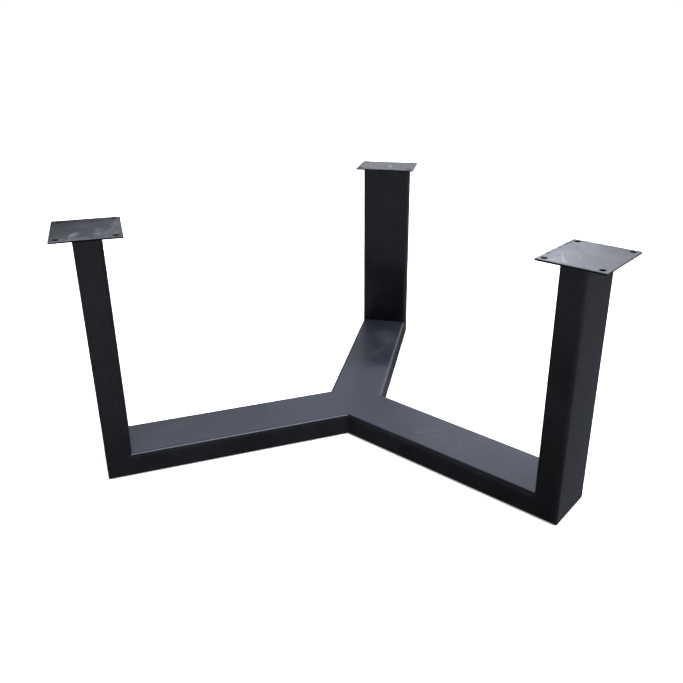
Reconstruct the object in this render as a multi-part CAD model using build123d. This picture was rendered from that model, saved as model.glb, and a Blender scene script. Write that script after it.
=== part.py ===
from build123d import *
import math
import os

# Three-legged welded table base, standing on the floor, in millimetres.
# The origin is the hub centre on the floor, +Z is up and the back arm runs along +Y.

# Rectangular hollow section that the arms and the uprights are cut from
tube_width = 100.0
tube_depth = 40.0
tube_wall = 3.0
tube_inside_radius = 3.0

# Frame: reach from the hub centre to an upright's outer face, height from floor to plate top
arm_reach = 437.0
base_height = 405.0
arm_names = ("back", "left", "right")
first_arm_heading = 90.0

# Top plates, which carry the table top: overhang past the tube, thickness and screw holes
plate_end_overhang = 30.0
plate_side_overhang = 12.5
plate_thickness = 3.0
plate_corner_radius = 2.0
plate_edge_break = 0.5
hole_diameter = 8.5
hole_edge_distance = 10.0

# Fillet weld between the upright and the underside of its plate
weld_leg = 4.0
weld_crown = 0.4

# Sizes that follow from the ones above
tube_outside_radius = tube_inside_radius + tube_wall
arm_spacing = 360.0 / len(arm_names)
upright_centre = arm_reach - tube_depth / 2
plate_underside = base_height - plate_thickness
plate_length = tube_depth + 2 * plate_end_overhang
plate_width = tube_width + 2 * plate_side_overhang

# Every leg is drawn along +X and turned to its heading afterwards.
# The corner mitre runs from the outer bottom edge, up and inwards at 45 degrees.
corner_mitre = Plane(origin=(arm_reach, 0, 0), x_dir=(0, 1, 0), z_dir=(1, 0, 1))


def tube_section(plane):
    """The hollow section with its formed corners, width along the plane's x."""
    bore_width = tube_width - 2 * tube_wall
    bore_depth = tube_depth - 2 * tube_wall
    outline = RectangleRounded(tube_width, tube_depth, tube_outside_radius)
    bore = RectangleRounded(bore_width, bore_depth, tube_inside_radius)
    return plane * (outline - bore)


def arm():
    """Floor arm: pointed at the hub for the three-way mitre, cut at 45 degrees outside."""
    start = Plane(origin=(0, 0, tube_depth / 2), x_dir=(0, 1, 0), z_dir=(1, 0, 0))
    body = extrude(tube_section(start), amount=arm_reach)
    half_angle = math.radians(arm_spacing / 2)
    for side in (-1, 1):
        inwards = (math.sin(half_angle), side * math.cos(half_angle), 0)
        hub_mitre = Plane(origin=(0, 0, 0), x_dir=(0, 0, 1), z_dir=inwards)
        body = split(body, bisect_by=hub_mitre, keep=Keep.TOP)
    return split(body, bisect_by=corner_mitre, keep=Keep.BOTTOM)


def upright():
    """Upright: the same tube turned up at the end of the arm, to the underside of the plate."""
    foot = Plane(origin=(upright_centre, 0, 0), x_dir=(0, 1, 0), z_dir=(0, 0, 1))
    body = extrude(tube_section(foot), amount=plate_underside)
    return split(body, bisect_by=corner_mitre, keep=Keep.TOP)


def top_plate():
    """Flat plate, centred on its upright, with deburred edges and a screw hole near each corner."""
    bed = Plane(origin=(upright_centre, 0, plate_underside), z_dir=(0, 0, 1))
    blank = RectangleRounded(plate_length, plate_width, plate_corner_radius)
    hole_step_x = plate_length - 2 * hole_edge_distance
    hole_step_y = plate_width - 2 * hole_edge_distance
    holes = GridLocations(hole_step_x, hole_step_y, 2, 2) * Circle(hole_diameter / 2)
    sharp = extrude(bed * (blank - holes), amount=plate_thickness)
    rims = sharp.faces().filter_by(Axis.Z).edges()
    return chamfer(rims, length=plate_edge_break)


def plate_weld():
    """Slightly crowned fillet weld that runs round the upright, against the plate."""
    seat = Plane(origin=(upright_centre, 0, plate_underside), x_dir=(0, 1, 0), z_dir=(0, 0, 1))
    path = seat * RectangleRounded(tube_width, tube_depth, tube_outside_radius).wire()
    root = Vector(arm_reach, 0, plate_underside)
    plate_toe = root + Vector(weld_leg, 0, 0)
    tube_toe = root - Vector(0, 0, weld_leg)
    outwards = Vector(1, 0, -1).normalized()
    crown = (plate_toe + tube_toe) / 2 + outwards * weld_crown
    bead = Line(root, plate_toe) + ThreePointArc(plate_toe, crown, tube_toe) + Line(tube_toe, root)
    return sweep(make_face(bead), path=path)


makers = {
    "arm": arm,
    "upright": upright,
    "top_plate": top_plate,
    "plate_weld": plate_weld,
}

os.makedirs("parts", exist_ok=True)
for piece_name, make in makers.items():
    piece = make()
    for number, arm_name in enumerate(arm_names):
        heading = first_arm_heading + number * arm_spacing
        export_step(Rot(0, 0, heading) * piece, f"parts/{piece_name}_{arm_name}.step")
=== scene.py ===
import math

import bpy
from mathutils import Matrix, Vector


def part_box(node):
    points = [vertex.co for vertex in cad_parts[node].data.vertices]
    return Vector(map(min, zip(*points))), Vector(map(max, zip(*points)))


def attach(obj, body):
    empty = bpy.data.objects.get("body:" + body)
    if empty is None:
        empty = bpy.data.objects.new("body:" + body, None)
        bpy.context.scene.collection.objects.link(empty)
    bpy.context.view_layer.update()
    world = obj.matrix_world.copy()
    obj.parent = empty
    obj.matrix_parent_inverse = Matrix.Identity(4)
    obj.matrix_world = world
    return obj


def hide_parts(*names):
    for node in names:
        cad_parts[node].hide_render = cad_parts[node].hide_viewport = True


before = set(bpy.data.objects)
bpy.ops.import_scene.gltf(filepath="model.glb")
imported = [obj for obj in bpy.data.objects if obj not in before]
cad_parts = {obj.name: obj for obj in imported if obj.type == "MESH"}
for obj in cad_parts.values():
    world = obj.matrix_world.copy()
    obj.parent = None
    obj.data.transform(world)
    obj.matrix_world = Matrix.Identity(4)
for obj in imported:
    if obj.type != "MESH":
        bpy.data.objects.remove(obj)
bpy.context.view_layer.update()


# Floor arms
# Three lengths of flat-lying rectangular steel tube, mitred to a point at the hub and welded. The
# welds are ground flush, which leaves the hub duller than the tube round it. The whole frame has one
# thin, dark satin coat, which has gathered dust and been smeared by hands and cloths.
leg_headings = {"back": 90.0, "left": 210.0, "right": 330.0}
arm_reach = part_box("upright_back")[1][1]
tube_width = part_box("arm_back")[1][0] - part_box("arm_back")[0][0]
tube_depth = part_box("arm_back")[1][2]
# The coat's gloss and its colours, from the clean coat to a heavy smear
coat_ior = 1.265
coat_rough = (0.19, 0.26)
coat_black = (0.0026, 0.0027, 0.0031, 1.0)
coat_haze = (0.0048, 0.0051, 0.0059, 1.0)
coat_dust = (0.0185, 0.0194, 0.0216, 1.0)
smear_grey = (0.0330, 0.0345, 0.0400, 1.0)
# How fine the coat's patterns are, as blotches in a metre, and how deep its peel is
haze_scale = 11.0
brushed_scale = 40.0
mottle_scale = 75.0
smear_grain_scale = 120.0
peel_scale = 700.0
peel_strength = 0.05
peel_depth = 0.0004
arm_roll_lines = (4.0, 190.0, 190.0)
# Share of the mottle or the lines that joins the haze, and the stretch of the sum that shows
film_mottle = 0.35
film_range = (0.45, 0.95)
sheen_lines = 0.5
sheen_range = (0.45, 1.05)
dust_range = (0.20, 0.70)
dust_thinnest = 0.82
smear_grain_range = (0.25, 0.70)
smear_thinnest = 0.35
smear_dulling = 0.10
# Ground welds: the hub's radius and the strip along each mitre, with their edges and finish
hub_radius = 0.140
hub_fade = 0.035
hub_wander = 0.070
hub_dust = 0.50
hub_smear = 0.45
hub_dulling = 0.20
mitre_width = 0.014
mitre_wander = 0.010
mitre_film = 0.12
# Upward part of a face's normal: where dust lies, and where the tube's rounded corners are
level_slope = (0.93, 0.998)
corner_start = (0.10, 0.30)
corner_end = (0.995, 0.96)
corner_dulling = 0.04
# Share of the dust that thins out towards the outer end of each arm, which leaves that end darker, and how
# much duller it is there
arm_thinning = {"back": 0.55, "left": 0.0, "right": 0.0}
thinning_stretch = (0.06, 0.26)
thinning_dulling = 0.29
# Start and end of each smear on the arm's top, along the arm and across it, its width and strength
arm_smears = {
    "back": (
        ((0.275, -0.030), (0.320, -0.012), 0.070, 0.45),
        ((0.205, -0.004), (0.245, -0.024), 0.034, 0.25),
        ((0.040, -0.060), (0.130, -0.050), 0.110, 0.60),
    ),
    "left": (
        ((0.150, 0.026), (0.200, 0.034), 0.030, 0.22),
        ((0.310, -0.024), (0.345, -0.004), 0.036, 0.22),
    ),
    "right": (
        ((0.158, -0.020), (0.187, 0.018), 0.019, 0.60),
        ((0.184, -0.022), (0.199, 0.012), 0.016, 0.50),
        ((0.208, -0.024), (0.214, -0.004), 0.016, 0.35),
        ((0.230, 0.010), (0.248, -0.024), 0.018, 0.45),
    ),
}


def feed(tree, socket, value):
    """Joins an output to an input socket, or sets the socket to a plain value."""
    if isinstance(value, bpy.types.NodeSocket):
        tree.links.new(value, socket)
    else:
        socket.default_value = value


def node(tree, kind, settings=None, **inputs):
    """Adds a node; an input is a value or another node's output socket."""
    made = tree.nodes.new(kind)
    for name, value in (settings or {}).items():
        setattr(made, name, value)
    for name, value in inputs.items():
        feed(tree, made.inputs[name.replace("_", " ")], value)
    return made


def sums(tree, operation, first, second=0.0, third=0.0):
    """One step of arithmetic on values or sockets."""
    made = node(tree, "ShaderNodeMath", {"operation": operation})
    for socket, value in zip(made.inputs, (first, second, third)):
        feed(tree, socket, value)
    return made.outputs["Value"]


def vectors(tree, operation, first, second=(0.0, 0.0, 0.0)):
    """One step of arithmetic on places or directions, with all its outputs."""
    made = node(tree, "ShaderNodeVectorMath", {"operation": operation})
    for socket, value in zip(made.inputs, (first, second)):
        feed(tree, socket, value)
    return made.outputs


def axes(tree, vector):
    """The X, Y and Z of a place or direction."""
    return node(tree, "ShaderNodeSeparateXYZ", Vector=vector).outputs


def mapped(tree, place, **settings):
    """A place that is moved, turned or stretched."""
    return node(tree, "ShaderNodeMapping", Vector=place, **settings).outputs["Vector"]


def fade(tree, value, start, end, low=0.0, high=1.0):
    """Maps a value smoothly from one range to another, held at both ends."""
    made = node(
        tree, "ShaderNodeMapRange", {"interpolation_type": "SMOOTHSTEP"},
        Value=value, From_Min=start, From_Max=end, To_Min=low, To_Max=high,
    )
    return made.outputs["Result"]


def blotches(tree, place, scale, detail=4.0, roughness=0.55):
    """Cloudy pattern from 0 to 1."""
    made = node(tree, "ShaderNodeTexNoise", Vector=place, Scale=scale, Detail=detail, Roughness=roughness)
    return made.outputs["Fac"]


def tint(tree, share, under, over):
    """One colour laid over another by a share."""
    return node(tree, "ShaderNodeMixRGB", Fac=share, Color1=under, Color2=over).outputs["Color"]


def new_finish(name):
    """A material with its node tree and its shader."""
    finish = bpy.data.materials.new(name)
    finish.use_nodes = True
    return finish, finish.node_tree, finish.node_tree.nodes["Principled BSDF"]


def leg_place(tree, heading):
    """Coordinates in metres with X along the leg's arm, Y across it and Z up."""
    place = node(tree, "ShaderNodeTexCoord").outputs["Object"]
    return mapped(tree, place, Rotation=(0.0, 0.0, math.radians(-heading)))


def smear(tree, place, height, start, end, width, strength):
    """A soft stroke along a straight line at one height."""
    run = Vector((end[0] - start[0], end[1] - start[1], 0.0))
    offset = vectors(tree, "SUBTRACT", place, (start[0], start[1], height))["Vector"]
    along = vectors(tree, "DOT_PRODUCT", offset, run / run.length_squared)["Value"]
    share = node(tree, "ShaderNodeClamp", Value=along).outputs["Result"]
    foot = node(tree, "ShaderNodeVectorMath", {"operation": "SCALE"}, Vector=run, Scale=share)
    away = vectors(tree, "DISTANCE", offset, foot.outputs["Vector"])["Value"]
    return fade(tree, away, width / 2, 0.0, 0.0, strength)


def worn(tree, strokes, broken):
    """The strongest of several strokes, broken by a pattern."""
    total = strokes[0]
    for stroke in strokes[1:]:
        total = sums(tree, "MAXIMUM", total, stroke)
    return sums(tree, "MULTIPLY", total, broken)


def coat(name, heading, roll_lines, marks=(), mark_height=0.0, thinning=0.0):
    """Dark satin coat with haze, lines from rolling, ground welds, dust, smears and a fine peel."""
    finish, tree, shader = new_finish(name)
    place = leg_place(tree, heading)
    parts = axes(tree, place)
    slope = axes(tree, node(tree, "ShaderNodeNewGeometry").outputs["Normal"])["Z"]
    level = fade(tree, slope, *level_slope)
    haze = blotches(tree, place, haze_scale)
    mottle = blotches(tree, place, mottle_scale, detail=3.0)
    lines = blotches(tree, mapped(tree, place, Scale=roll_lines), 1.0, detail=3.0)

    # Ground welds at the hub and along the mitre at the upright's foot
    on_floor = vectors(tree, "MULTIPLY", place, (1.0, 1.0, 0.0))["Vector"]
    from_hub = vectors(tree, "LENGTH", on_floor)["Value"]
    brushed = sums(tree, "SUBTRACT", blotches(tree, place, brushed_scale, detail=3.0), 0.5)
    ragged = sums(tree, "MULTIPLY_ADD", brushed, hub_wander, from_hub)
    ground_hub = fade(tree, ragged, hub_radius + hub_fade, hub_radius - hub_fade)
    dull_hub = sums(tree, "MULTIPLY", ground_hub, level)
    from_mitre = sums(tree, "SUBTRACT", sums(tree, "ADD", parts["X"], parts["Z"]), arm_reach)
    wavering = sums(tree, "MULTIPLY_ADD", mottle, mitre_wander, sums(tree, "ABSOLUTE", from_mitre))
    ground_mitre = fade(tree, wavering, mitre_width, mitre_width / 2)

    # Colour: the hazy film, then the dust on level faces, thinning out towards the arm's end
    film = fade(tree, sums(tree, "MULTIPLY_ADD", mottle, film_mottle, haze), *film_range)
    film = sums(tree, "MULTIPLY_ADD", ground_mitre, mitre_film, film)
    colour = tint(tree, film, coat_black, coat_haze)
    settled = sums(tree, "MULTIPLY", level, fade(tree, mottle, *dust_range, dust_thinnest, 1.0))
    settled = sums(tree, "MULTIPLY", sums(tree, "MULTIPLY_ADD", ground_hub, hub_dust, 1.0), settled)
    # Less dust towards the arm's outer end, which leaves that end darker
    thinned_away = fade(tree, parts["X"], *thinning_stretch, 0.0, thinning)
    settled = sums(tree, "MULTIPLY", sums(tree, "SUBTRACT", 1.0, thinned_away), settled)
    colour = tint(tree, settled, colour, coat_dust)
    colour = tint(tree, sums(tree, "MULTIPLY", dull_hub, hub_smear), colour, smear_grey)

    # Roughness: least on the flat tube, more at the hub, on the rounded corners and where the dust thins out
    sheen = sums(tree, "MULTIPLY_ADD", lines, sheen_lines, haze)
    rough = fade(tree, sheen, *sheen_range, *coat_rough)
    rough = sums(tree, "MULTIPLY_ADD", dull_hub, hub_dulling, rough)
    corner = sums(tree, "MULTIPLY", fade(tree, slope, *corner_start), fade(tree, slope, *corner_end))
    rough = sums(tree, "MULTIPLY_ADD", corner, corner_dulling, rough)
    rough = sums(tree, "MULTIPLY_ADD", thinned_away, thinning_dulling, rough)
    if marks:
        grain = blotches(tree, place, smear_grain_scale, detail=3.0)
        broken = fade(tree, grain, *smear_grain_range, smear_thinnest, 1.0)
        smeared = worn(tree, [smear(tree, place, mark_height, *mark) for mark in marks], broken)
        colour = tint(tree, smeared, colour, smear_grey)
        rough = sums(tree, "MULTIPLY_ADD", smeared, smear_dulling, rough)

    peel = blotches(tree, place, peel_scale, detail=2.0)
    bump = node(tree, "ShaderNodeBump", Height=peel, Strength=peel_strength, Distance=peel_depth)
    feed(tree, shader.inputs["Base Color"], colour)
    feed(tree, shader.inputs["Roughness"], rough)
    feed(tree, shader.inputs["Normal"], bump.outputs["Normal"])
    shader.inputs["IOR"].default_value = coat_ior
    return finish


def dress(node_name, finish):
    """Gives a tube or plate of the frame its finish."""
    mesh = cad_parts[node_name].data
    mesh.materials.clear()
    mesh.materials.append(finish)


for leg, heading in leg_headings.items():
    finish = coat(
        f"arm_{leg}_coat", heading, arm_roll_lines,
        marks=arm_smears[leg], mark_height=tube_depth, thinning=arm_thinning[leg],
    )
    dress(f"arm_{leg}", finish)


# Uprights
# The same tube turned up at the end of each arm, with a 45 degree mitre at its foot.
# The corner weld is ground flush and coated with the rest.
upright_roll_lines = (190.0, 190.0, 4.0)
for leg, heading in leg_headings.items():
    dress(f"upright_{leg}", coat(f"upright_{leg}_coat", heading, upright_roll_lines))


# Top plates
# Flat steel plates, cut to size, drilled near the corners and deburred, that carry the table top.
# They have the frame's coat, wiped and scratched in handling and rubbed bare along the rims, whose lighter
# colour also paints the light line along each plate's edge: a painted highlight. The cut edges and the holes
# stay black.
plate_low, plate_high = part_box("top_plate_back")
plate_top = plate_high[2]
plate_centre = (plate_low[1] + plate_high[1]) / 2
plate_half_along = (plate_high[1] - plate_low[1]) / 2
plate_half_across = (plate_high[0] - plate_low[0]) / 2
hole_inset = 0.010
hole_radius = 0.00425
# The plates' gloss and their colours
plate_ior = 1.50
plate_rough = (0.28, 0.38)
plate_tint = (1.0, 0.975, 0.85, 1.0)
wiped_grey = (0.0560, 0.0560, 0.0550, 1.0)
scratch_grey = (0.165, 0.164, 0.160, 1.0)
# Bare steel for the burrs and the rims; on the rims it also paints the light line along the edge, a painted
# highlight
bare_steel_and_rim_highlight = (0.085, 0.086, 0.088, 1.0)
edge_black = (0.0120, 0.0123, 0.0130, 1.0)
# Scratches and wiped patches on each plate, from its centre, with the smears' order of values
plate_scratches = {
    "back": (
        ((-0.014, -0.009), (0.002, -0.005), 0.0130, 1.0),
    ),
    "left": (
        ((0.012, 0.016), (0.018, 0.032), 0.0050, 0.25),
        ((0.016, 0.024), (0.022, 0.038), 0.0070, 0.40),
        ((-0.026, 0.030), (-0.013, 0.034), 0.0060, 0.30),
        ((-0.026, 0.040), (-0.015, 0.045), 0.0060, 0.35),
    ),
    "right": (
        ((-0.014, -0.048), (-0.023, -0.033), 0.0052, 0.8),
        ((-0.024, -0.030), (-0.030, -0.020), 0.0036, 0.7),
        ((-0.002, -0.030), (-0.008, -0.008), 0.0030, 0.30),
    ),
}
plate_patches = {
    "back": (
        ((-0.038, -0.044), (-0.032, 0.034), 0.030, 0.5),
        ((0.040, -0.050), (0.040, 0.050), 0.020, 0.4),
    ),
    "left": (
        ((-0.034, 0.022), (-0.028, 0.050), 0.030, 0.55),
        ((-0.018, 0.010), (-0.012, 0.052), 0.026, 0.55),
        ((0.012, 0.024), (0.021, 0.044), 0.022, 0.70),
        ((-0.036, 0.054), (0.036, 0.054), 0.034, 0.60),
        ((-0.046, -0.052), (-0.040, 0.052), 0.056, 0.52),
    ),
    "right": (
        ((-0.034, -0.054), (-0.014, -0.050), 0.026, 0.9),
        ((-0.030, -0.050), (-0.022, -0.036), 0.022, 0.7),
    ),
}
# How grit breaks a scratch, how dull and deep that is, and how the mottle frays a patch
scratch_grit_range = (0.25, 0.58)
scratch_dulling = 0.04
scratch_cut = -0.8
patch_mottle = 0.9
patch_range = (0.20, 0.70)
# The way that the wiped streaks run on each plate, from its arm's heading, and how fine they are
streak_headings = {"back": 90.0, "left": 56.0, "right": 113.0}
streak_scale = (40.0, 420.0, 1.0)
streak_range = (0.32, 0.66)
# Extra dullness of each plate, across it from one side to the other, and along it outwards
dull_across = {"back": (0.10, 0.00), "left": (-0.08, 0.24), "right": (-0.02, 0.11)}
dull_along = {"back": (0.02, 0.00), "left": (0.12, -0.04), "right": (-0.05, 0.12)}
# How fine the plates' patterns are, as blotches in a metre
plate_haze_scale = 16.0
plate_mottle_scale = 90.0
plate_grit_scale = 420.0
plate_peel_scale = 900.0
plate_peel_strength = 0.06
plate_sheen_mottle = 0.4
# Faint curls from wiping: the shift of their middle, their size and waver, and where they show
curl_shift = (0.02, -0.05, 0.0)
curl_scale = 110.0
curl_waver = 5.0
curl_waver_scale = 1.6
curl_area = (0.50, 0.70)
curl_share = 0.5
# Heights from the plate's top between which its cut edge gives way to its top face
edge_height = (-0.0008, -0.0004)
# Bare rims that also paint a highlight along the edge, burrs round the holes and black bores, by their
# distance from the edge or the hole's middle
rim_fray = 0.0014
rim_width = (0.0016, 0.0009)
rim_bareness_and_highlight = 0.6
burr_fray = 0.0030
burr_ring = (0.0075, 0.0058)
burr_bareness = 0.12
bore_lip = (0.0010, 0.0005)
bore_dulling = 0.50
# Chipped band inside the rim, on the half towards the hub and clear of one side
chip_inset = (0.0100, 0.0030)
chip_mottle = (0.46, 0.56)
chip_along = (0.030, 0.0)
chip_across = (-0.056, -0.046)
chip_dulling = 0.22
# Edge that the cutting has rolled over a little
edge_roll_width = 0.0045
edge_roll_drop = 0.00018


def plate_coat(name, leg):
    """The coat on a plate: curls, patches, scratches, bare rims with a painted edge highlight, black cut
    edges and holes.
    """
    finish, tree, shader = new_finish(name)
    place = leg_place(tree, leg_headings[leg])
    spot = mapped(tree, place, Location=(-plate_centre, 0.0, -plate_top))
    parts = axes(tree, spot)
    on_top = fade(tree, parts["Z"], *edge_height)
    haze = blotches(tree, spot, plate_haze_scale)
    mottle = blotches(tree, spot, plate_mottle_scale, detail=3.0)
    grit = blotches(tree, spot, plate_grit_scale, detail=3.0)

    # Distances from the plate's edge and from the nearest hole's middle
    along = sums(tree, "ABSOLUTE", parts["X"])
    across = sums(tree, "ABSOLUTE", parts["Y"])
    inset_along = sums(tree, "SUBTRACT", plate_half_along, along)
    inset_across = sums(tree, "SUBTRACT", plate_half_across, across)
    inset = sums(tree, "MINIMUM", inset_along, inset_across)
    hole_along = sums(tree, "POWER", sums(tree, "SUBTRACT", inset_along, hole_inset), 2.0)
    hole_across = sums(tree, "POWER", sums(tree, "SUBTRACT", inset_across, hole_inset), 2.0)
    to_hole = sums(tree, "SQRT", sums(tree, "ADD", hole_along, hole_across))
    # The rim band: bare steel, and a painted highlight along the plate's edge
    rim = fade(tree, sums(tree, "MULTIPLY_ADD", grit, rim_fray, inset), *rim_width)
    rim = sums(tree, "MULTIPLY", rim, on_top)
    burr = fade(tree, sums(tree, "MULTIPLY_ADD", grit, burr_fray, to_hole), *burr_ring)
    burr = sums(tree, "MULTIPLY", burr, on_top)
    bore = fade(tree, to_hole, hole_radius + bore_lip[0], hole_radius + bore_lip[1])
    cut_edge = sums(tree, "SUBTRACT", 1.0, on_top)

    # Handling marks: curls, patches wiped in streaks, and scratches
    curls = node(
        tree, "ShaderNodeTexWave", {"wave_type": "RINGS", "rings_direction": "Z"},
        Vector=mapped(tree, spot, Location=curl_shift),
        Scale=curl_scale, Distortion=curl_waver, Detail=3.0, Detail_Scale=curl_waver_scale,
    ).outputs["Fac"]
    curls = sums(tree, "MULTIPLY", curls, fade(tree, haze, *curl_area))
    turned = mapped(tree, spot, Rotation=(0.0, 0.0, math.radians(-streak_headings[leg])))
    streaks = blotches(tree, mapped(tree, turned, Scale=streak_scale), 1.0)
    streaks = fade(tree, streaks, *streak_range)
    patches = worn(tree, [smear(tree, spot, 0.0, *patch) for patch in plate_patches[leg]], on_top)
    ragged = sums(tree, "MULTIPLY_ADD", sums(tree, "SUBTRACT", mottle, 0.5), patch_mottle, patches)
    wiped = sums(tree, "MULTIPLY", fade(tree, ragged, *patch_range), streaks)
    gritty = sums(tree, "MULTIPLY", fade(tree, grit, *scratch_grit_range), on_top)
    scratched = worn(tree, [smear(tree, spot, 0.0, *scratch) for scratch in plate_scratches[leg]], gritty)

    # Colour, from the coat's film up to the marks, then the holes and the cut edges
    film = fade(tree, sums(tree, "MULTIPLY_ADD", mottle, film_mottle, haze), *film_range)
    colour = tint(tree, film, coat_black, coat_haze)
    colour = tint(tree, sums(tree, "MULTIPLY", curls, curl_share), colour, smear_grey)
    colour = tint(tree, wiped, colour, wiped_grey)
    colour = tint(tree, sums(tree, "MULTIPLY", burr, burr_bareness), colour, bare_steel_and_rim_highlight)
    # Lighter rims: bare steel, and also a painted highlight along the edge
    colour = tint(tree, sums(tree, "MULTIPLY", rim, rim_bareness_and_highlight), colour, bare_steel_and_rim_highlight)
    colour = tint(tree, scratched, colour, scratch_grey)
    colour = tint(tree, bore, colour, coat_black)
    colour = tint(tree, cut_edge, colour, edge_black)

    # Roughness: mottled, uneven over the plate, and duller in scratches, bores and the chipped band
    sheen = sums(tree, "MULTIPLY_ADD", mottle, plate_sheen_mottle, haze)
    rough = fade(tree, sheen, *film_range, *plate_rough)
    rough = sums(tree, "MULTIPLY_ADD", scratched, scratch_dulling, rough)
    rough = sums(tree, "MULTIPLY_ADD", bore, bore_dulling, rough)
    side_dulling = fade(tree, parts["Y"], -plate_half_across, plate_half_across, *dull_across[leg])
    rough = sums(tree, "ADD", rough, side_dulling)
    end_dulling = fade(tree, parts["X"], -plate_half_along, plate_half_along, *dull_along[leg])
    rough = sums(tree, "ADD", rough, end_dulling)
    chipped = sums(tree, "MULTIPLY", fade(tree, inset, *chip_inset), fade(tree, mottle, *chip_mottle))
    chipped = sums(tree, "MULTIPLY", chipped, fade(tree, parts["X"], *chip_along))
    chipped = sums(tree, "MULTIPLY", chipped, fade(tree, parts["Y"], *chip_across))
    rough = sums(tree, "MULTIPLY_ADD", chipped, chip_dulling, rough)

    # Relief: the rolled edge, the fine peel and the scratches
    rolled = fade(tree, inset, 0.0, edge_roll_width, -edge_roll_drop, 0.0)
    edge = node(tree, "ShaderNodeBump", Height=rolled, Strength=1.0, Distance=1.0)
    peel = blotches(tree, spot, plate_peel_scale, detail=2.0)
    bump = node(
        tree, "ShaderNodeBump", Height=sums(tree, "MULTIPLY_ADD", scratched, scratch_cut, peel),
        Strength=plate_peel_strength, Distance=peel_depth, Normal=edge.outputs["Normal"],
    )
    feed(tree, shader.inputs["Base Color"], colour)
    feed(tree, shader.inputs["Metallic"], cut_edge)
    feed(tree, shader.inputs["Roughness"], rough)
    feed(tree, shader.inputs["Normal"], bump.outputs["Normal"])
    shader.inputs["IOR"].default_value = plate_ior
    shader.inputs["Specular Tint"].default_value = plate_tint
    return finish


for leg in leg_headings:
    dress(f"top_plate_{leg}", plate_coat(f"top_plate_{leg}_coat", leg))


# Plate welds
# One fillet weld round the head of each upright, under its plate, laid in a single run and left
# as it was welded, so that it keeps its ripples under the coat.
tube_corner = 0.006
weld_corner_steps = 12
# Length of a ripple along the bead, its depth and the bead's swell as shares of the bead's size
weld_ripple = 0.0023
weld_ripple_depth = 0.10
weld_steps_per_ripple = 8
weld_fatness = 0.97
weld_swell = 0.12
# How much the ripples' spacing drifts, in ripples, and how fine that and the skin's grain are
weld_drift = 0.9
weld_drift_scale = 160.0
weld_grain_scale = 900.0
weld_unevenness = 0.00012
# The crowned face of the bead, and the bend in radians past which its edges stay sharp
weld_face_steps = 10
weld_crown = 0.28
weld_sharp_bend = 1.2


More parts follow.
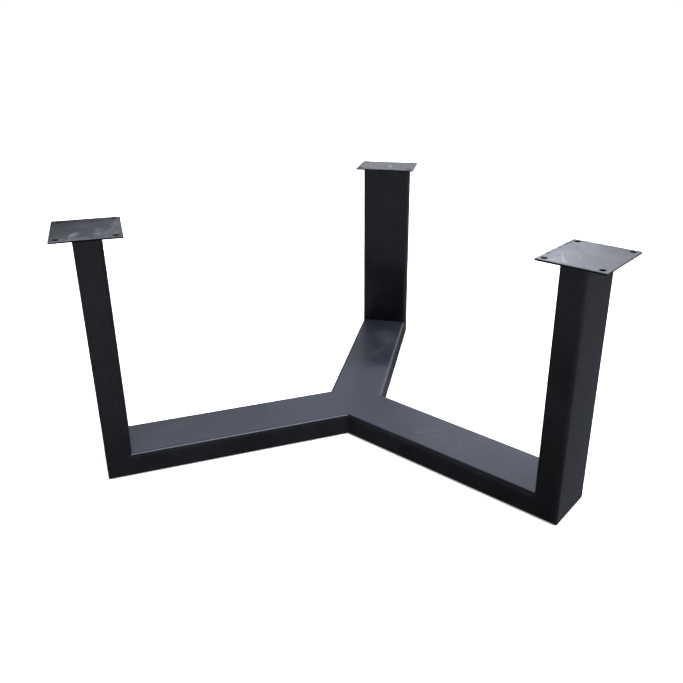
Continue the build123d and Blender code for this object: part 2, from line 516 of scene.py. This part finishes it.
def weld_tree():
    """Geometry nodes: a rippled bead swept round the tube, seated on the plate and the tube."""
    tree = bpy.data.node_groups.new("weld_bead", "GeometryNodeTree")
    sizes = {}
    for name, kind in (
        ("Tube width", "NodeSocketFloat"), ("Tube depth", "NodeSocketFloat"), ("Corner", "NodeSocketFloat"),
        ("Leg", "NodeSocketFloat"), ("Ripple", "NodeSocketFloat"), ("Ripple depth", "NodeSocketFloat"),
        ("Unevenness", "NodeSocketFloat"), ("Seed", "NodeSocketFloat"), ("Place", "NodeSocketVector"),
        ("Heading", "NodeSocketFloat"), ("Finish", "NodeSocketMaterial"),
    ):
        sizes[name] = tree.interface.new_socket(name, in_out="INPUT", socket_type=kind)
    tree.interface.new_socket("Bead", in_out="OUTPUT", socket_type="NodeSocketGeometry")
    given = node(tree, "NodeGroupInput").outputs
    result = node(tree, "NodeGroupOutput").inputs["Bead"]

    def step(kind, settings=None, **inputs):
        """Adds a geometry node and gives its first output."""
        return node(tree, "GeometryNode" + kind, settings, **inputs).outputs[0]

    def seeded(scale, detail):
        """Cloudy pattern from 0 to 1 that is different on each bead."""
        made = node(
            tree, "ShaderNodeTexNoise", {"noise_dimensions": "4D"},
            Vector=step("InputPosition"), W=given["Seed"], Scale=scale, Detail=detail,
        )
        return made.outputs["Fac"]

    def bulge(share):
        """How far the crowned face stands off one seat, from 0 at that toe to 1 at the other."""
        crowned = sums(tree, "MULTIPLY_ADD", share, -weld_crown, 1.0 + weld_crown)
        return sums(tree, "MULTIPLY", share, crowned)

    # The path round the tube, and the bead's size along it
    outline = step("CurvePrimitiveQuadrilateral", Width=given["Tube depth"], Height=given["Tube width"])
    rounded = step(
        "FilletCurve", {"mode": "POLY"},
        Curve=outline, Count=weld_corner_steps, Radius=given["Corner"],
    )
    spacing = sums(tree, "DIVIDE", given["Ripple"], weld_steps_per_ripple)
    path = step("ResampleCurve", {"mode": "LENGTH"}, Curve=rounded, Length=spacing)
    drift = seeded(weld_drift_scale, detail=1.0)
    run = node(tree, "GeometryNodeSplineParameter").outputs["Length"]
    count = sums(tree, "MULTIPLY_ADD", drift, weld_drift, sums(tree, "DIVIDE", run, given["Ripple"]))
    crest = sums(tree, "ABSOLUTE", sums(tree, "SINE", sums(tree, "MULTIPLY", count, math.pi)))
    dip = sums(tree, "MULTIPLY", sums(tree, "SUBTRACT", crest, 1.0), given["Ripple depth"])
    swell = sums(tree, "MULTIPLY", sums(tree, "SUBTRACT", drift, 0.5), weld_swell)
    fatness = sums(tree, "ADD", sums(tree, "ADD", dip, swell), weld_fatness)

    # The face runs from the toe on the plate to the toe on the tube, and the last point is the root
    row = step("MeshLine", Count=weld_face_steps + 2)
    share = sums(tree, "DIVIDE", step("InputIndex"), weld_face_steps)
    on_face = sums(tree, "LESS_THAN", share, 1.0 + 0.5 / weld_face_steps)
    size = sums(tree, "MULTIPLY", given["Leg"], on_face)
    from_tube = sums(tree, "MULTIPLY", size, bulge(sums(tree, "SUBTRACT", 1.0, share)))
    from_plate = sums(tree, "MULTIPLY", size, bulge(share))
    point = node(tree, "ShaderNodeCombineXYZ", X=from_tube, Y=from_plate).outputs["Vector"]
    bent = step("SetPosition", Geometry=row, Position=point)
    closed = step("SetSplineCyclic", Geometry=step("MeshToCurve", Mesh=bent), Cyclic=True)
    bead = step("CurveToMesh", Curve=path, Profile_Curve=closed, Scale=fatness)

    # The uneven skin, smooth but for its toes and its root
    grain = seeded(weld_grain_scale, detail=2.0)
    lift = sums(tree, "MULTIPLY", sums(tree, "SUBTRACT", grain, 0.5), given["Unevenness"])
    offset = node(
        tree, "ShaderNodeVectorMath", {"operation": "SCALE"}, Vector=step("InputNormal"), Scale=lift,
    ).outputs["Vector"]
    rough = step("SetPosition", Geometry=bead, Offset=offset)
    smooth = step("SetShadeSmooth", Geometry=rough)
    sharp = sums(tree, "GREATER_THAN", step("InputMeshEdgeAngle"), weld_sharp_bend)
    creased = step("SetShadeSmooth", {"domain": "EDGE"}, Geometry=smooth, Selection=sharp, Shade_Smooth=False)
    turn = node(tree, "ShaderNodeCombineXYZ", Z=given["Heading"]).outputs["Vector"]
    placed = step("Transform", Geometry=creased, Translation=given["Place"], Rotation=turn)
    whole = step("RealizeInstances", Geometry=placed)
    tree.links.new(step("SetMaterial", Geometry=whole, Material=given["Finish"]), result)
    return tree, {name: socket.identifier for name, socket in sizes.items()}


weld_nodes, weld_inputs = weld_tree()
weld_low, weld_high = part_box("plate_weld_back")
weld_leg = weld_high[2] - weld_low[2]
for number, (leg, heading) in enumerate(leg_headings.items()):
    finish = coat(f"plate_weld_{leg}_coat", heading, upright_roll_lines)
    angle = math.radians(heading)
    seat = (plate_centre * math.cos(angle), plate_centre * math.sin(angle), weld_high[2])
    bead = bpy.data.objects.new(f"weld_bead_{leg}", bpy.data.meshes.new(f"weld_bead_{leg}"))
    bpy.context.scene.collection.objects.link(bead)
    modifier = bead.modifiers.new("bead", "NODES")
    modifier.node_group = weld_nodes
    for name, value in (
        ("Tube width", tube_width), ("Tube depth", tube_depth), ("Corner", tube_corner), ("Leg", weld_leg),
        ("Ripple", weld_ripple), ("Ripple depth", weld_ripple_depth), ("Unevenness", weld_unevenness),
        ("Seed", float(number)), ("Place", seat), ("Heading", angle), ("Finish", finish),
    ):
        modifier[weld_inputs[name]] = value
    evaluated = bead.evaluated_get(bpy.context.evaluated_depsgraph_get())
    mesh = bpy.data.meshes.new_from_object(evaluated)
    bead.modifiers.remove(modifier)
    bead.data = mesh
    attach(bead, "root")
    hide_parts(f"plate_weld_{leg}")


# Floor
# A plain white studio floor with a faint glow of its own, and a lit white screen round its rim, so
# that no horizon shows. The coat's gloss doesn't pick them up: it sees the room in the next section.
floor_radius = 60.0
floor_sides = 96
floor_white = (0.90, 0.842, 0.704, 1.0)
floor_rough = 0.9
floor_glow = 0.30
screen_height = 30.0
screen_glow = 1.0
glow_white = (1.0, 1.0, 1.0, 1.0)
screen_black = (0.0, 0.0, 0.0, 1.0)
rim_angles = [2 * math.pi * number / floor_sides for number in range(floor_sides)]
rim_points = [(floor_radius * math.cos(angle), floor_radius * math.sin(angle)) for angle in rim_angles]
floor_mesh = bpy.data.meshes.new("floor")
floor_mesh.from_pydata([(x, y, 0.0) for x, y in rim_points], [], [tuple(range(floor_sides))])
floor = bpy.data.objects.new("floor", floor_mesh)
floor_finish, _, floor_shader = new_finish("floor_paper")
floor_shader.inputs["Base Color"].default_value = floor_white
floor_shader.inputs["Roughness"].default_value = floor_rough
floor_shader.inputs["Specular IOR Level"].default_value = 0.0
floor_shader.inputs["Emission Color"].default_value = glow_white
floor_shader.inputs["Emission Strength"].default_value = floor_glow
floor_mesh.materials.append(floor_finish)
floor.visible_glossy = False

screen_points = [(x, y, z) for z in (0.0, screen_height) for x, y in rim_points]
screen_faces = []
for number in range(floor_sides):
    beside = (number + 1) % floor_sides
    screen_faces.append((number, number + floor_sides, beside + floor_sides, beside))
screen_mesh = bpy.data.meshes.new("screen")
screen_mesh.from_pydata(screen_points, [], screen_faces)
screen = bpy.data.objects.new("screen", screen_mesh)
screen_finish, _, screen_shader = new_finish("screen_white")
screen_shader.inputs["Base Color"].default_value = screen_black
screen_shader.inputs["Emission Color"].default_value = glow_white
screen_shader.inputs["Emission Strength"].default_value = screen_glow
screen_mesh.materials.append(screen_finish)
screen.visible_glossy = False
screen.visible_diffuse = False
screen.visible_shadow = False
for staged in (floor, screen):
    bpy.context.scene.collection.objects.link(staged)


# Light
# A low window behind the base, open sky over it and a pale band along the horizon, in a dim room
# whose floor is brighter far off than close by. One broad overhead light, a little to the right, draws
# the light lines along the tubes' rounded edges.
light_tint = (0.93, 0.995, 1.19, 1.0)
band_tint = (1.02, 1.0, 1.04, 1.0)
# Levels of light behind the base, and where each starts and ends along X, Y or Z of the direction
window_azimuth = math.radians(75.0)
window_height = math.radians(21.0)
window_peak = 2.6
window_spread = 0.045
sky_level = 1.85
sky_start_z = (0.45, 0.525)
sky_end_z = (0.92, 0.66)
band_level = 1.0
band_end_z = (0.26, 0.16)
band_start_x = (-0.42, -0.18)
band_tint_z = (0.30, 0.16)
rear_start_y = (0.05, 0.55)
room_levels = (0.12, 0.42)
room_y = (0.30, -0.30)
# The room's floor, from left to right: close by, far off in front, and behind the base
floor_near_levels = (0.05, 0.25)
floor_near_x = (-0.75, 0.45)
floor_far_levels = (0.95, 1.22)
floor_far_x = (-0.60, 0.60)
floor_far_z = (-0.60, -0.12)
floor_behind_levels = (0.14, 0.24)
floor_behind_x = (0.20, 0.60)
floor_behind_y = (-0.10, 0.35)
horizon_z = (-0.03, 0.05)
window_from = Vector((
    math.cos(window_height) * math.cos(window_azimuth),
    math.cos(window_height) * math.sin(window_azimuth),
    math.sin(window_height),
))


def between(tree, share, first, second):
    """A value that goes from the first to the second by a share."""
    return sums(tree, "MULTIPLY_ADD", sums(tree, "SUBTRACT", second, first), share, first)


world = bpy.data.worlds.new("studio")
bpy.context.scene.world = world
world.use_nodes = True
sky = world.node_tree
direction = node(sky, "ShaderNodeTexCoord").outputs["Generated"]
aim = axes(sky, direction)
toward = vectors(sky, "DOT_PRODUCT", direction, window_from)["Value"]
falloff = sums(sky, "MULTIPLY_ADD", toward, 1.0 / window_spread, -1.0 / window_spread)
window_glow = sums(sky, "MULTIPLY", sums(sky, "EXPONENT", falloff), window_peak)
open_sky = fade(sky, aim["Z"], *sky_start_z, 0.0, sky_level)
open_sky = sums(sky, "MULTIPLY", open_sky, fade(sky, aim["Z"], *sky_end_z))
band = fade(sky, aim["Z"], *band_end_z, 0.0, band_level)
band = sums(sky, "MULTIPLY", band, fade(sky, aim["X"], *band_start_x))
rear_glow = sums(sky, "ADD", sums(sky, "ADD", window_glow, open_sky), band)
room = fade(sky, aim["Y"], *room_y, *room_levels)
glow = sums(sky, "MULTIPLY_ADD", rear_glow, fade(sky, aim["Y"], *rear_start_y), room)
close_by = fade(sky, aim["X"], *floor_near_x, *floor_near_levels)
far_off = fade(sky, aim["X"], *floor_far_x, *floor_far_levels)
in_front = between(sky, fade(sky, aim["Z"], *floor_far_z), close_by, far_off)
at_back = fade(sky, aim["X"], *floor_behind_x, *floor_behind_levels)
room_floor = between(sky, fade(sky, aim["Y"], *floor_behind_y), in_front, at_back)
above = fade(sky, aim["Z"], *horizon_z)
in_band = sums(sky, "MULTIPLY", fade(sky, aim["Z"], *band_tint_z), above)
background = sky.nodes["Background"]
feed(sky, background.inputs["Color"], tint(sky, in_band, light_tint, band_tint))
feed(sky, background.inputs["Strength"], between(sky, above, room_floor, glow))

overhead_from = Vector((0.20, -0.10, 0.97)).normalized()
overhead_width = math.radians(38.0)
overhead_radiance = 20.0
overhead = bpy.data.lights.new("overhead", "SUN")
overhead.angle = overhead_width
overhead.color = light_tint[:3]
overhead.energy = overhead_radiance * math.pi * math.sin(overhead_width / 2) ** 2
overhead_object = bpy.data.objects.new("overhead", overhead)
overhead_object.rotation_euler = overhead_from.to_track_quat("Z", "Y").to_euler()
bpy.context.scene.collection.objects.link(overhead_object)


# Camera
# Two thirds of a metre up, in front of the base and to its right, looking down on it and slightly
# to the left.
camera_place = Vector((0.2160, -1.1382, 0.6747))
camera_turn = math.radians(8.374)
camera_tilt = math.radians(-21.771)
camera_roll = math.radians(0.659)
camera_sensor = 36.0
camera_lens = 36.861
camera_shift = (-0.05641, -0.03968)
camera = bpy.data.cameras.new("camera")
camera.sensor_width = camera_sensor
camera.lens = camera_lens
camera.shift_x, camera.shift_y = camera_shift
camera_object = bpy.data.objects.new("camera", camera)
camera_object.matrix_world = (
    Matrix.Translation(camera_place)
    @ Matrix.Rotation(camera_turn, 4, "Z")
    @ Matrix.Rotation(math.pi / 2 + camera_tilt, 4, "X")
    @ Matrix.Rotation(camera_roll, 4, "Z")
)
bpy.context.scene.collection.objects.link(camera_object)
bpy.context.scene.camera = camera_object
bpy.context.scene.view_settings.view_transform = "Standard"
